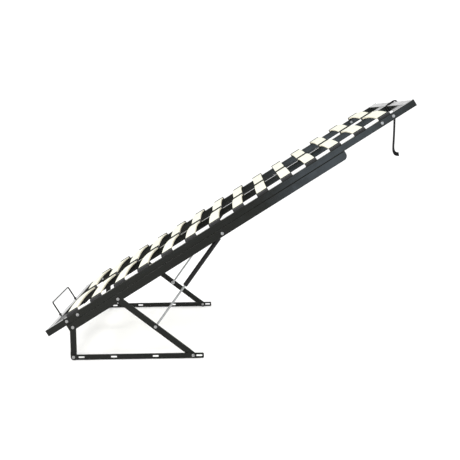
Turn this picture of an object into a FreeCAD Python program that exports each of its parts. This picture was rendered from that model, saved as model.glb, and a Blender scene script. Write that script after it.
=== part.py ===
import FreeCAD, Part
import math
import os
import re
import Sketcher

# A lift-up slatted bed base, raised. Row frame: +X runs up the slope towards the head end, +Z is up,
# and Y runs across the bed. The right side lies at -Y. The origin is under the middle of the raised
# object, at the height of its lowest point. Lengths are millimetres and angles are degrees.
# Frame pieces are drawn in the frame's own axes: X along the rails from the foot end, Z away from the
# rails' centre line. Places across the bed are given as the distance "out" from the middle.

SIZES = {
    # raised pose and links
    "tilt": 31.25,
    "upright_length": 139.8,
    "link_pivot_gap": 249.7,
    "strut_pivot_reach": 821.7,
    "base_pivot_gap": 556.4,
    "strut_foot_reach": 219.0,
    "link_width": 29.0,
    "link_thickness": 4.0,
    "link_joggle": 4.0,
    "joggle_start": 19.0,
    "joggle_run": 9.0,
    # lift frame
    "frame_length": 2000.0,
    "frame_width": 1400.0,
    "tube_width": 40.0,
    "tube_height": 31.0,
    "tube_wall": 1.5,
    "tube_corner": 2.5,
    "cap_thickness": 3.0,
    "cap_plug": 14.0,
    "cap_clearance": 0.1,
    "cap_overlap": 0.5,
    "foot_pivot_station": 118.0,
    "pivot_drop": 38.6,
    # angle profiles that carry the pivots
    "lift_rail_start": 97.0,
    "lift_rail_length": 1516.0,
    "lift_rail_height": 36.7,
    "lift_rail_leg": 30.0,
    "lift_rail_wall": 3.0,
    "lift_rail_corner": 2.4,
    "lift_rail_round": 22.0,
    "lift_screw_count": 6,
    "lift_screw_margin": 40.0,
    # base bars
    "base_bar_height": 25.0,
    "base_bar_thickness": 4.0,
    "base_bar_tail": 50.0,
    "base_bar_round": 6.0,
    "slot_width": 8.0,
    "slot_length": 28.0,
    "slot_station_a": 37.0,
    "slot_station_b": 188.0,
    "slot_station_c": 382.0,
    "slot_station_d": 585.0,
    # how far a cutter or a buried shank runs past the face it meets
    "overshoot": 1.0,
    # pivots
    "pivot_radius": 4.0,
    "running_gap": 0.05,
    "side_gap": 1.2,
    "washer_thickness": 0.8,
    "washer_radius": 9.5,
    "head_radius": 7.5,
    "head_height": 4.5,
    "head_round": 1.8,
    "nut_radius": 7.5,
    "nut_height": 6.0,
    "nut_gap": 0.4,
    "thread_end": 2.0,
    # gas strut
    "strut_radius": 11.0,
    "strut_wall": 1.4,
    "strut_tube_length": 272.0,
    "strut_tube_start": 26.0,
    "strut_rod_radius": 5.0,
    "strut_end_wall": 5.0,
    "strut_gland_length": 16.0,
    "gland_lip": 2.0,
    "piston_length": 12.0,
    "piston_gap": 0.3,
    "piston_stop": 2.0,
    "eye_radius": 10.0,
    "eye_width": 10.0,
    "eye_neck_radius": 4.8,
    "neck_overlap": 2.0,
    "foot_neck_length": 8.0,
    "spacer_radius": 7.0,
    "strut_side_gap": 0.8,
    # slats and their holders
    "slat_count": 14,
    "slat_pitch": 130.7,
    "first_slat_station": 150.0,
    "slat_width": 53.0,
    "slat_thickness": 8.0,
    "slat_bow": 11.0,
    "slat_lift": 1.5,
    "slat_rail_inset": 9.0,
    "slat_beam_inset": 8.0,
    "holder_length": 59.0,
    "holder_lap": 30.0,
    "beam_holder_lap": 30.0,
    "holder_roof": 1.5,
    "holder_inset": 3.0,
    "holder_clearance": 0.3,
    "peg_radius": 4.0,
    "peg_length": 7.0,
    # corner and beam brackets, frame bolts
    "bracket_length": 150.0,
    "bracket_return": 60.0,
    "bracket_height": 24.0,
    "bracket_wall": 3.0,
    "foot_bolt_station": 110.0,
    "head_bolt_station": 116.0,
    "frame_bolt_pitch": 60.0,
    "beam_bracket_length": 100.0,
    "beam_bracket_width": 60.0,
    "beam_screw_margin": 20.0,
    "bolt_gap": 0.2,
    "screw_gap": 0.1,
    "screw_radius": 3.0,
    "screw_head_radius": 5.5,
    "screw_head_height": 3.5,
    "screw_length": 10.0,
    # mattress hoop and pull strap
    "hoop_width": 500.0,
    "hoop_height": 71.0,
    "hoop_wire_radius": 4.0,
    "hoop_bend": 12.0,
    "hoop_depth": 26.0,
    "hoop_gap": 1.5,
    "collar_radius": 7.5,
    "collar_height": 14.0,
    "collar_rise": 3.0,
    "strap_width": 28.0,
    "strap_thickness": 5.0,
    "strap_loop_thickness": 2.5,
    "strap_clearance": 0.2,
    "strap_out": 50.0,
}

# Places worked out from the sizes, kept in the same sheet.
PLACES = {
    "rise": "sin(tilt)",
    "run": "cos(tilt)",
    "rail_out": "frame_width / 2",
    "rail_in": "rail_out - tube_width",
    "hoop_station": "cap_thickness - hoop_gap - hoop_wire_radius",
    "hoop_top": "tube_height / 2 + hoop_height",
    "low_end": "min(hoop_station * run - hoop_top * rise - hoop_wire_radius; -tube_height / 2 * rise)",
    "high_end": "frame_length * run + tube_height / 2 * rise",
    "frame_x": "-(low_end + high_end) / 2",
    "pivot_a_x": "frame_x + foot_pivot_station * run + pivot_drop * rise",
    "pivot_a_z": "link_width / 2",
    "pivot_c_z": "pivot_a_z + upright_length",
    "frame_z": "pivot_c_z - foot_pivot_station * rise + pivot_drop * run",
    "pivot_b_x": "pivot_a_x + base_pivot_gap",
    "pivot_d_x": "pivot_a_x + link_pivot_gap * run",
    "pivot_d_z": "pivot_c_z + link_pivot_gap * rise",
    "diagonal_x": "pivot_d_x - pivot_b_x",
    "diagonal_z": "pivot_d_z - pivot_a_z",
    "diagonal_length": "sqrt(diagonal_x ^ 2 + diagonal_z ^ 2)",
    "diagonal_angle": "180 - atan(-diagonal_z / diagonal_x) / 1deg",
    "pivot_f_x": "pivot_b_x + strut_foot_reach * diagonal_x / diagonal_length",
    "pivot_f_z": "pivot_a_z + strut_foot_reach * diagonal_z / diagonal_length",
    "pivot_e_x": "pivot_a_x + strut_pivot_reach * run",
    "pivot_e_z": "pivot_c_z + strut_pivot_reach * rise",
    "strut_x": "pivot_e_x - pivot_f_x",
    "strut_z": "pivot_e_z - pivot_f_z",
    "strut_length": "sqrt(strut_x ^ 2 + strut_z ^ 2)",
    "strut_angle": "atan(strut_z / strut_x) / 1deg",
    "flange_in": "rail_out - lift_rail_wall",
    "link_out": "flange_in - side_gap",
    "link_in": "link_out - link_thickness",
    "link_foot_out": "link_out + link_joggle",
    "link_foot_in": "link_in + link_joggle",
    "base_bar_in": "link_foot_out + side_gap",
    "base_bar_out": "base_bar_in + base_bar_thickness",
    "strut_out": "link_in - strut_side_gap - strut_radius",
    "eye_out": "strut_out + eye_width / 2",
    "eye_in": "strut_out - eye_width / 2",
    "strut_tube_end": "strut_length - strut_tube_start - strut_tube_length",
    "slat_low": "tube_height / 2 + slat_lift",
    "slat_far_end": "rail_out - slat_rail_inset",
    "slat_near_end": "slat_beam_inset",
    "slat_half": "(slat_far_end - slat_near_end) / 2",
    "slat_radius": "(slat_half ^ 2 + slat_bow ^ 2) / (2 * slat_bow)",
    "slat_centre": "slat_low + slat_bow - slat_radius",
    "holder_out": "rail_out - holder_inset",
    "holder_back": "slat_lift + slat_thickness + holder_roof",
    "rail_mouth_side": "slat_far_end - (holder_out - holder_lap)",
    "rail_mouth_rise": "sqrt(slat_radius ^ 2 - (slat_half - rail_mouth_side) ^ 2) + slat_bow - slat_radius",
    "beam_mouth_side": "beam_holder_lap - slat_near_end",
    "beam_mouth_rise": "sqrt(slat_radius ^ 2 - (slat_half - beam_mouth_side) ^ 2) + slat_bow - slat_radius",
    "pivot_c_station": "foot_pivot_station",
    "pivot_d_station": "foot_pivot_station + link_pivot_gap",
    "pivot_e_station": "foot_pivot_station + strut_pivot_reach",
    "beam_start": "cap_thickness + tube_width",
    "head_bar_station": "frame_length - cap_thickness - tube_width / 2",
}

# How close, in mm, an edge must lie to a place to be picked for rounding.
NEAR = 0.1

# The strap's route from the head bar, as X and Z from the middle of the bar: chosen by hand.
STRAP_ROUTE = [(12.8, -13.0), (18.6, -40.0), (17.6, -80.0), (16.0, -125.0), (13.6, -172.0),
               (10.9, -207.0), (12.2, -226.0), (18.0, -238.5), (27.0, -244.5), (39.5, -244.8)]

doc = FreeCAD.newDocument("LiftBase")
sheet = doc.addObject("Spreadsheet::Sheet", "Sizes")
subparts = {}


# ---------------------------------------------------------------- the sheet and small helpers

def fill_sheet():
    """Write every size as a plain number and every place as a formula, each with its alias."""
    row = 0
    for alias, number in SIZES.items():
        row += 1
        sheet.set(f"A{row}", alias)
        sheet.set(f"B{row}", str(number))
        sheet.setAlias(f"B{row}", alias)
    for alias, formula in PLACES.items():
        row += 1
        sheet.set(f"A{row}", alias)
        sheet.set(f"B{row}", "=" + formula)
        sheet.setAlias(f"B{row}", alias)
    doc.recompute()


def cells(formula):
    """The formula with each size or place spelled as a cell of the sheet."""
    def spell(word):
        name = word.group()
        return "Sizes." + name if name in SIZES or name in PLACES else name
    return re.sub(r"[a-z][a-z_]*", spell, str(formula))


def value(formula):
    """The formula's present value as a plain number."""
    result = sheet.evalExpression(cells(formula))
    return float(getattr(result, "Value", result))


def bind(thing, **formulas):
    """Tie properties of an object to the sheet."""
    for name, formula in formulas.items():
        thing.setExpression(name, cells(formula))


def put(thing, x="0", y="0", z="0", angle="0"):
    """Tie an object's Placement: a point in space, and a slope about Y that lifts its +X end."""
    turn = f"rotation(vector(0; 1; 0); -({cells(angle)}))"
    thing.setExpression("Placement", f"placement(vector({cells(x)}; {cells(y)}; {cells(z)}); {turn})")
    return thing


def on_frame(thing):
    """Seat an object that is drawn in the lift frame's own axes."""
    return put(thing, "frame_x", "0", "frame_z", "tilt")


def keep(node, thing):
    """Name an object as a sub-part of the assembly."""
    thing.Label = node
    subparts[node] = thing
    return thing


def mirrored(node, source):
    """The same piece on the other side of the bed."""
    twin = doc.addObject("Part::Mirroring", node)
    twin.Source = source
    twin.Normal = FreeCAD.Vector(0, 1, 0)
    return twin


def group(node, things):
    """Several separate solids that share a node."""
    bundle = doc.addObject("Part::Compound", node)
    bundle.Links = things
    return bundle


# ---------------------------------------------------------------- primitives across the bed

def block(name, size, corner):
    """A box of three lengths with its lowest corner at a point."""
    box = doc.addObject("Part::Box", name)
    bind(box, Length=size[0], Width=size[1], Height=size[2])
    return put(box, *corner)


AXIS_TURNS = {"x": "rotation(vector(0; 1; 0); 90)", "y": "rotation(vector(1; 0; 0); -90)",
              "z": "rotation(vector(0; 0; 1); 0)"}


def bar(name, radius, length, start, axis="y"):
    """A round bar from a point along an axis."""
    cylinder = doc.addObject("Part::Cylinder", name)
    bind(cylinder, Radius=radius, Height=length)
    x, y, z = [cells(part) for part in start]
    cylinder.setExpression("Placement", f"placement(vector({x}; {y}; {z}); {AXIS_TURNS[axis]})")
    return cylinder


def across(name, radius, outer, inner, x, z):
    """A round bar across the right side, from an outer to an inner distance out."""
    return bar(name, radius, f"({outer}) - ({inner})", (x, f"-({outer})", z))


def joined(name, things):
    """One solid from several that touch or overlap."""
    union = doc.addObject("Part::MultiFuse", name)
    union.Shapes = things
    union.Refine = True
    return union


def cut_away(name, base, tools):
    """A solid with tools cut out of it."""
    tool = tools[0] if len(tools) == 1 else group(name + "_cutters", tools)
    cut = doc.addObject("Part::Cut", name)
    cut.Base = base
    cut.Tool = tool
    return cut


def bolt(name, head_face, tip, x, z, radius="pivot_radius"):
    """A button-headed bolt across the right side: the head stands outside head_face."""
    head = across(name + "_head_blank", "head_radius", f"{head_face} + head_height", head_face, x, z)
    doc.recompute()
    rim = max(range(len(head.Shape.Edges)), key=lambda i: -head.Shape.Edges[i].CenterOfMass.y
              if head.Shape.Edges[i].Curve.TypeId == "Part::GeomCircle" else -1e9)
    domed = doc.addObject("Part::Fillet", name + "_head")
    domed.Base = head
    domed.Edges = [(rim + 1, SIZES["head_round"], SIZES["head_round"])]
    shank = across(name + "_shank", radius, f"{head_face} + overshoot", tip, x, z)
    return joined(name, [domed, shank])


def nut(name, face, x, z):
    """A hexagon nut across the right side, inboard of a face."""
    prism = doc.addObject("Part::Prism", name + "_blank")
    prism.Polygon = 6
    bind(prism, Circumradius="nut_radius", Height="nut_height")
    x_cell, z_cell = cells(x), cells(z)
    y_cell = cells(f"-({face})")
    prism.setExpression("Placement", f"placement(vector({x_cell}; {y_cell}; {z_cell}); {AXIS_TURNS['y']})")
    hole = across(name + "_hole", "pivot_radius + running_gap", f"{face} + overshoot",
                  f"{face} - nut_height - overshoot",
                  x, z)
    return cut_away(name, prism, [hole])


def ring(name, outer_face, inner_face, radius, x, z, hole="pivot_radius + running_gap"):
    """A flat ring across the right side between two distances out."""
    disc = across(name + "_disc", radius, outer_face, inner_face, x, z)
    bore = across(name + "_bore", hole, f"{outer_face} + overshoot", f"{inner_face} - overshoot", x, z)
    return cut_away(name, disc, [bore])


# ---------------------------------------------------------------- sketched bodies

def new_body(name):
    body = doc.addObject("PartDesign::Body", name)
    body.AllowCompound = True
    return body


def new_sketch(body, name, plane, offset="0"):
    """A sketch on one of the body's own planes, shifted along the plane's normal."""
    sketch = body.newObject("Sketcher::SketchObject", name)
    base = next(face for face in body.Origin.OriginFeatures if face.Role == plane + "_Plane")
    sketch.AttachmentSupport = [(base, "")]
    sketch.MapMode = "FlatFace"
    sketch.setExpression("AttachmentOffset.Base.z", cells(offset))
    return sketch


def locate(sketch, geometry, point, x=None, y=None):
    """Tie one point of the sketch to the sheet."""
    for kind, formula in (("DistanceX", x), ("DistanceY", y)):
        if formula is not None:
            tie = Sketcher.Constraint(kind, -1, 1, geometry, point, value(formula))
            index = sketch.addConstraint(tie)
            sketch.setExpression(f"Constraints[{index}]", cells(formula))


def arc_between(start, stop, centre, turn):
    """An arc round a centre. Sketch arcs always run anticlockwise, so a clockwise one is reversed."""
    first, last = (start, stop) if turn > 0 else (stop, start)
    circle = Part.Circle(centre, FreeCAD.Vector(0, 0, 1), (first - centre).Length)
    begin = math.atan2(first.y - centre.y, first.x - centre.x)
    end = math.atan2(last.y - centre.y, last.x - centre.x)
    if end <= begin:
        end += 2 * math.pi
    return Part.ArcOfCircle(circle, begin, end)


def outline(sketch, corners, bends=None):
    """A closed outline through corners given as formulas. bends says which edges are arcs: the edge's
    number, then the coordinate of the arc's centre that is not midway ("x" or "y"), its formula, and
    +1 for anticlockwise or -1 for clockwise."""
    bends = bends or {}
    points = [FreeCAD.Vector(value(x), value(y), 0) for x, y in corners]
    ends = []
    for index, start in enumerate(points):
        stop = points[(index + 1) % len(points)]
        if index not in bends:
            edge = sketch.addGeometry(Part.LineSegment(start, stop), False)
            ends.append((edge, 1, 2))
            continue
        axis, formula, turn = bends[index]
        centre = (start + stop) / 2
        setattr(centre, axis, value(formula))
        edge = sketch.addGeometry(arc_between(start, stop, centre, turn), False)
        ends.append((edge, 1, 2) if turn > 0 else (edge, 2, 1))
        locate(sketch, edge, 3, **{axis: formula})
    for index, (edge, first, last) in enumerate(ends):
        following = ends[(index + 1) % len(ends)]
        sketch.addConstraint(Sketcher.Constraint("Coincident", edge, last, following[0], following[1]))
        locate(sketch, edge, first, *corners[index])
    return sketch


def rectangle(sketch, x_low, x_high, y_low, y_high):
    return outline(sketch, [(x_low, y_low), (x_high, y_low), (x_high, y_high), (x_low, y_high)])


def circle(sketch, x, y, radius):
    """A circle placed and sized from the sheet."""
    centre = FreeCAD.Vector(value(x), value(y), 0)
    edge = sketch.addGeometry(Part.Circle(centre, FreeCAD.Vector(0, 0, 1), value(radius)), False)
    locate(sketch, edge, 3, x, y)
    index = sketch.addConstraint(Sketcher.Constraint("Radius", edge, value(radius)))
    sketch.setExpression(f"Constraints[{index}]", cells(radius))


def pad(body, sketch, length, middle=False):
    feature = body.newObject("PartDesign::Pad", sketch.Name + "_pad")
    feature.Profile = sketch
    feature.SideType = "Symmetric" if middle else "One side"
    bind(feature, Length=length)
    doc.recompute()
    return feature


def cut_through(body, sketch):
    """Cut the sketch through the whole body both ways, and make sure that it removes something."""
    before = body.Tip.Shape.Volume
    feature = body.newObject("PartDesign::Pocket", sketch.Name + "_cut")
    feature.Profile = sketch
    feature.Type = "ThroughAll"
    feature.SideType = "Symmetric"
    doc.recompute()
    if feature.Shape.Volume >= before:
        raise ValueError(feature.Name + " cuts nothing")
    return feature


def fillet(body, wanted, radius):
    """Round the edges of the body's last feature for which wanted(edge) is true."""
    base = body.Tip
    names = [f"Edge{i + 1}" for i, edge in enumerate(base.Shape.Edges) if wanted(edge)]
    feature = body.newObject("PartDesign::Fillet", base.Name + "_rounded")
    feature.Base = (base, names)
    bind(feature, Radius=radius)
    doc.recompute()
    return feature


def along(edge, axis):
    """True for a straight edge that runs along an axis of the body."""
    if edge.Curve.TypeId != "Part::GeomLine":
        return False
    return abs(getattr(edge.Curve.Direction, axis)) > 0.999


# ---------------------------------------------------------------- the lift frame's tubes

def tube_x(name, start, length, out_low, out_high):
    """A rectangular tube along the bed, with rounded corners."""
    body = new_body(name)
    low, high = "-tube_height / 2", "tube_height / 2"
    section = new_sketch(body, name + "_section", "YZ", start)
    rectangle(section, out_low, out_high, low, high)
    pad(body, section, length)
    fillet(body, lambda edge: along(edge, "x"), "tube_corner")
    bore = new_sketch(body, name + "_bore", "YZ")
    rectangle(bore, f"{out_low} + tube_wall", f"{out_high} - tube_wall", f"{low} + tube_wall",
              f"{high} - tube_wall")
    cut_through(body, bore)
    return body


def tube_y(name, start, half_length):
    """A rectangular tube across the bed, with rounded corners."""
    body = new_body(name)
    low, high = "-tube_height / 2", "tube_height / 2"
    section = new_sketch(body, name + "_section", "XZ")
    rectangle(section, start, f"{start} + tube_width", low, high)
    pad(body, section, f"2 * ({half_length})", middle=True)
    fillet(body, lambda edge: along(edge, "y"), "tube_corner")
    bore = new_sketch(body, name + "_bore", "XZ")
    rectangle(bore, f"{start} + tube_wall", f"{start} + tube_width - tube_wall", f"{low} + tube_wall",
              f"{high} - tube_wall")
    cut_through(body, bore)
    return body


def slat_station(row):
    return f"first_slat_station + {row} * slat_pitch"


def frame_bolt_stations():
    """Two bolts near each end of a side rail."""
    foot = [f"foot_bolt_station + {step} * frame_bolt_pitch" for step in range(2)]
    head = [f"frame_length - head_bolt_station - {step} * frame_bolt_pitch" for step in range(2)]
    return foot + head


def lift_screw_stations():
    """Screws spread evenly along the angle profile."""
    span = "(lift_rail_length - 2 * lift_screw_margin) / (lift_screw_count - 1)"
    count = int(SIZES["lift_screw_count"])
    return [f"lift_rail_start + lift_screw_margin + {i} * {span}" for i in range(count)]


def side_rail():
    blank = tube_x("side_rail_blank", "cap_thickness", "frame_length - 2 * cap_thickness", "-rail_out",
                   "-rail_in")
    cutters = []
    for index, station in enumerate(frame_bolt_stations()):
        cutters.append(across(f"rail_bolt_hole_{index}", "pivot_radius + bolt_gap", "rail_out + overshoot",
                              "rail_in - overshoot", station, "0"))
    for row in range(int(SIZES["slat_count"])):
        cutters.append(bar(f"rail_peg_hole_{row}", "peg_radius + screw_gap", "tube_wall + 2 * overshoot",
                           (slat_station(row), "-(rail_out + rail_in) / 2",
                            "tube_height / 2 - tube_wall - overshoot"), "z"))
    for index, station in enumerate(lift_screw_stations()):
        cutters.append(bar(f"rail_screw_hole_{index}", "screw_radius + screw_gap",
                           "tube_wall + 2 * overshoot",
                           (station, "-(rail_out + rail_in) / 2", "-tube_height / 2 - overshoot"), "z"))
    right = on_frame(cut_away("side_rail_right", blank, cutters))
    keep("side_rail_right", right)
    keep("side_rail_left", mirrored("side_rail_left", right))


def end_bars_and_beam():
    keep("foot_bar", on_frame(tube_y("foot_bar", "cap_thickness", "rail_in")))
    keep("head_bar", on_frame(tube_y("head_bar", "frame_length - beam_start", "rail_in")))
    beam = tube_x("centre_beam_blank", "beam_start", "frame_length - 2 * beam_start", "-tube_width / 2",
                  "tube_width / 2")
    holes = []
    for row in range(int(SIZES["slat_count"])):
        holes.append(bar(f"beam_peg_hole_{row}", "peg_radius + screw_gap", "tube_wall + 2 * overshoot",
                         (slat_station(row), "0", "tube_height / 2 - tube_wall - overshoot"), "z"))
    keep("centre_beam", on_frame(cut_away("centre_beam", beam, holes)))


def end_caps():
    """Plastic plugs in the open ends of the side rails."""
    plug_width = "tube_width - 2 * (tube_wall + cap_clearance)"
    plug_height = "tube_height - 2 * (tube_wall + cap_clearance)"
    caps = []
    for name, plate, plug in (("foot", "0", "cap_thickness - cap_overlap"),
                              ("head", "frame_length - cap_thickness",
                               "frame_length - cap_thickness - cap_plug")):
        face = block(f"cap_face_{name}", ("cap_thickness", "tube_width", "tube_height"),
                     (plate, "-rail_out", "-tube_height / 2"))
        body = block(f"cap_plug_{name}", ("cap_plug + cap_overlap", plug_width, plug_height),
                     (plug, "-rail_out + tube_wall + cap_clearance",
                      "-tube_height / 2 + tube_wall + cap_clearance"))
        caps.append(joined(f"cap_{name}", [face, body]))
    right = group("caps_right", caps)
    keep("rail_end_caps", on_frame(group("rail_end_caps", [right, mirrored("caps_left", right)])))


# ---------------------------------------------------------------- angle profiles under the side rails

def lift_rails():
    """An angle: one leg lies under the side rail, the other hangs down and carries the pivots."""
    body = new_body("lift_rail_blank")
    section = new_sketch(body, "lift_rail_section", "YZ", "lift_rail_start")
    top = "-tube_height / 2"
    outline(section, [("-rail_out", top), ("-rail_out", f"{top} - lift_rail_height"),
                      ("-rail_out + lift_rail_wall", f"{top} - lift_rail_height"),
                      ("-rail_out + lift_rail_wall", f"{top} - lift_rail_wall"),
                      ("-rail_out + lift_rail_leg", f"{top} - lift_rail_wall"),
                      ("-rail_out + lift_rail_leg", top)])
    pad(body, section, "lift_rail_length")
    fillet(body, lambda edge: along(edge, "x") and abs(edge.CenterOfMass.z - value(top)) < NEAR
           and abs(edge.CenterOfMass.y + value("rail_out")) < NEAR, "lift_rail_corner")
    bottom = value(f"{top} - lift_rail_height")
    finish = value("lift_rail_start + lift_rail_length")
    fillet(body, lambda edge: along(edge, "y") and abs(edge.CenterOfMass.z - bottom) < NEAR
           and abs(edge.CenterOfMass.x - finish) < NEAR, "lift_rail_round")
    cutters = []
    for letter in "cde":
        cutters.append(across(f"flange_hole_{letter}", "pivot_radius + running_gap", "rail_out + overshoot",
                              "flange_in - overshoot", f"pivot_{letter}_station", "-pivot_drop"))
    screws = []
    middle = "-(rail_out + rail_in) / 2"
    for index, station in enumerate(lift_screw_stations()):
        cutters.append(bar(f"leg_hole_{index}", "screw_radius + screw_gap", "lift_rail_wall + 2 * overshoot",
                           (station, middle, f"{top} - lift_rail_wall - overshoot"), "z"))
        head = bar(f"lift_screw_head_{index}", "screw_head_radius", "screw_head_height",
                   (station, middle, f"{top} - lift_rail_wall - screw_head_height"), "z")
        shank = bar(f"lift_screw_shank_{index}", "screw_radius", "screw_length + overshoot",
                    (station, middle, f"{top} - lift_rail_wall - overshoot"), "z")
        screws.append(joined(f"lift_screw_{index}", [head, shank]))
    right = on_frame(cut_away("lift_rail_right", body, cutters))
    keep("lift_rail_right", right)
    keep("lift_rail_left", mirrored("lift_rail_left", right))
    screws_right = group("lift_screws_right", screws)
    return [screws_right, mirrored("lift_screws_left", screws_right)]


# ---------------------------------------------------------------- brackets and frame bolts

def corner_brackets():
    """Angle plates in the frame's corners: welded to the end bar, bolted through the side rail."""
    plates = []
    ends = (("foot", "beam_start", "beam_start"),
            ("head", "frame_length - beam_start - bracket_length",
             "frame_length - beam_start - bracket_wall"))
    for name, long_start, short_start in ends:
        long_plate = block(f"bracket_long_{name}", ("bracket_length", "bracket_wall", "bracket_height"),
                           (long_start, "-rail_in", "-bracket_height / 2"))
        short_plate = block(f"bracket_short_{name}", ("bracket_wall", "bracket_return", "bracket_height"),
                            (short_start, "-rail_in", "-bracket_height / 2"))
        plates.append(joined(f"bracket_{name}", [long_plate, short_plate]))
    pair = group("bracket_pair", plates)
    holes = [across(f"bracket_hole_{index}", "pivot_radius + bolt_gap", "rail_in + overshoot",
                    "rail_in - bracket_wall - overshoot",
                    station, "0") for index, station in enumerate(frame_bolt_stations())]
    right = cut_away("brackets_right", pair, holes)
    keep("corner_brackets", on_frame(group("corner_brackets", [right, mirrored("brackets_left", right)])))


def frame_bolts():
    bolts, washers, nuts = [], [], []
    inner = "rail_in - bracket_wall"
    for index, station in enumerate(frame_bolt_stations()):
        bolts.append(bolt(f"frame_bolt_{index}", "rail_out + washer_thickness",
                          f"{inner} - nut_height - thread_end", station, "0"))
        washers.append(ring(f"frame_washer_{index}", "rail_out + washer_thickness", "rail_out",
                            "washer_radius", station, "0"))
        nuts.append(nut(f"frame_nut_{index}", inner, station, "0"))
    for node, things in (("frame_bolts", bolts), ("frame_bolt_washers", washers)):
        right = group(node + "_right", things)
        keep(node, on_frame(group(node, [right, mirrored(node + "_left", right)])))
    return nuts


def beam_brackets():
    """Plates under the joints of the centre beam and the end bars, each with four screws."""
    plates, screws = [], []
    under = "-tube_height / 2 - bracket_wall"
    for name, start in (("foot", "cap_thickness"),
                        ("head", "frame_length - cap_thickness - beam_bracket_length")):
        plate = block(f"beam_plate_{name}", ("beam_bracket_length", "beam_bracket_width", "bracket_wall"),
                      (start, "-beam_bracket_width / 2", under))
        holes = []
        for spot_name, along_plate in (("near", "beam_screw_margin"),
                                       ("far", "beam_bracket_length - beam_screw_margin")):
            for side in (-1, 1):
                tag = f"{name}_{spot_name}_{side + 1}"
                spot = (f"{start} + {along_plate}", f"{side} * tube_width / 4")
                holes.append(bar(f"beam_plate_hole_{tag}", "screw_radius + screw_gap",
                                 "bracket_wall + 2 * overshoot",
                                 (*spot, f"{under} - overshoot"), "z"))
                head = bar(f"beam_screw_head_{tag}", "screw_head_radius", "screw_head_height",
                           (*spot, f"{under} - screw_head_height"), "z")
                shank = bar(f"beam_screw_shank_{tag}", "screw_radius", "bracket_wall + overshoot",
                            (*spot, f"{under} - overshoot"), "z")
                screws.append(joined(f"beam_screw_{tag}", [head, shank]))
        plates.append(cut_away(f"beam_bracket_{name}", plate, holes))
    keep("beam_brackets", on_frame(group("beam_brackets", plates)))
    return screws


# ---------------------------------------------------------------- slats and holders

def slat_band(sketch, side, rise_low, rise_high, end_low, end_high):
    """A bowed band on one side of the beam: side is -1 for the right slat and 1 for the left."""
    near, far = (f"{side} * ({end_low})", f"{side} * ({end_high})")
    first, second = (far, near) if side < 0 else (near, far)
    outline(sketch, [(first, f"slat_low + {rise_low}"), (second, f"slat_low + {rise_low}"),
                     (second, f"slat_low + {rise_high}"), (first, f"slat_low + {rise_high}")],
            {0: ("y", f"slat_centre + {rise_low}", -1), 2: ("y", f"slat_centre + {rise_high}", 1)})


def slat_rows():
    for row in range(int(SIZES["slat_count"])):
        node = f"slat_row_{row + 1:02d}"
        body = new_body(node)
        bands = new_sketch(body, node + "_bands", "YZ", slat_station(row))
        for side in (-1, 1):
            slat_band(bands, side, "0", "slat_thickness", "slat_near_end", "slat_far_end")
        pad(body, bands, "slat_width", middle=True)
        keep(node, on_frame(body))


def holder(name, row, corners, slat_sides, peg_out):
    """A rubber holder with a pocket for each slat end and a peg in the tube's top wall."""
    body = new_body(name)
    side_view = new_sketch(body, name + "_side", "YZ", slat_station(row))
    outline(side_view, corners)
    pad(body, side_view, "holder_length", middle=True)
    peg = new_sketch(body, name + "_peg", "XY", "tube_height / 2 - peg_length")
    circle(peg, slat_station(row), peg_out, "peg_radius")
    pad(body, peg, "peg_length + overshoot")
    pocket = new_sketch(body, name + "_pocket", "YZ", slat_station(row))
    for side in slat_sides:
        slat_band(pocket, side, "-holder_clearance", "slat_thickness + holder_clearance",
                  "slat_near_end - holder_clearance", "slat_far_end + holder_clearance")
    before = body.Tip.Shape.Volume
    cut = body.newObject("PartDesign::Pocket", name + "_mouth")
    cut.Profile = pocket
    cut.SideType = "Symmetric"
    bind(cut, Length="slat_width + 2 * holder_clearance")
    doc.recompute()
    if cut.Shape.Volume >= before:
        raise ValueError(cut.Name + " cuts nothing")
    return body


def holders():
    base = "tube_height / 2"
    back = f"{base} + holder_back"
    rail_corners = [("-holder_out", base), ("-holder_out + holder_lap", base),
                    ("-holder_out + holder_lap", f"{back} + rail_mouth_rise"), ("-holder_out", back)]
    beam_corners = [("-beam_holder_lap", base), ("beam_holder_lap", base),
                    ("beam_holder_lap", f"{back} + beam_mouth_rise"), ("0", back),
                    ("-beam_holder_lap", f"{back} + beam_mouth_rise")]
    rows = range(int(SIZES["slat_count"]))
    right = [holder(f"rail_holder_{row}", row, rail_corners, (-1,), "-(rail_out + rail_in) / 2")
             for row in rows]
    centre = [holder(f"beam_holder_{row}", row, beam_corners, (-1, 1), "0") for row in rows]
    seated = keep("slat_holders_right", on_frame(group("slat_holders_right", right)))
    keep("slat_holders_left", mirrored("slat_holders_left", seated))
    keep("slat_holders_centre", on_frame(group("slat_holders_centre", centre)))


# ---------------------------------------------------------------- base bars and links

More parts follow.
